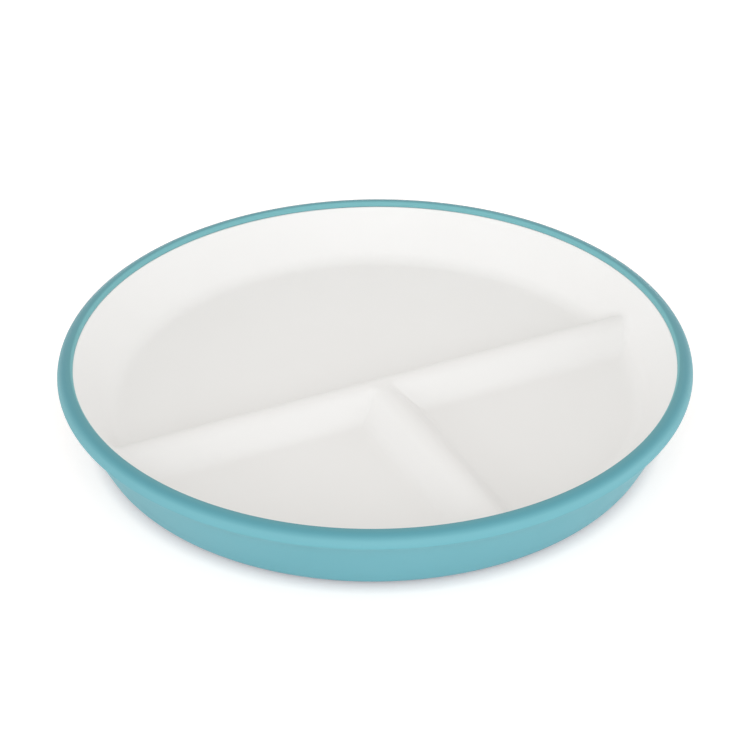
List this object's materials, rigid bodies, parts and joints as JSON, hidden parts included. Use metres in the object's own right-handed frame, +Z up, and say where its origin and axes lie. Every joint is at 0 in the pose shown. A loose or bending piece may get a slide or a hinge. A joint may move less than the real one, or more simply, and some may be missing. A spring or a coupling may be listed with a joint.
{
  "type": "divided plate",
  "caption": "Round toddler's plate: a white dish with a T-shaped divider, held in a turquoise outer shell with a rolled rim bead, standing on a soft non-slip ring.",
  "frame": {"origin": "on the plate's axis, at the table under the soft ring", "axes": "+Z up along the plate's axis, the full-width ridge along X, the half-length ridge towards -Y"},
  "size_m": [0.21, 0.21, 0.0282],
  "materials": {
    "dish_white": "smooth satin moulding",
    "shell_turquoise": "fine matte moulded grain",
    "soft_ring": "dull soft elastomer"
  },
  "bodies": {
    "root": {"inner_plate": "dish_white", "outer_shell": "shell_turquoise", "non_slip_ring": "soft_ring"}
  },
  "joints": []
}
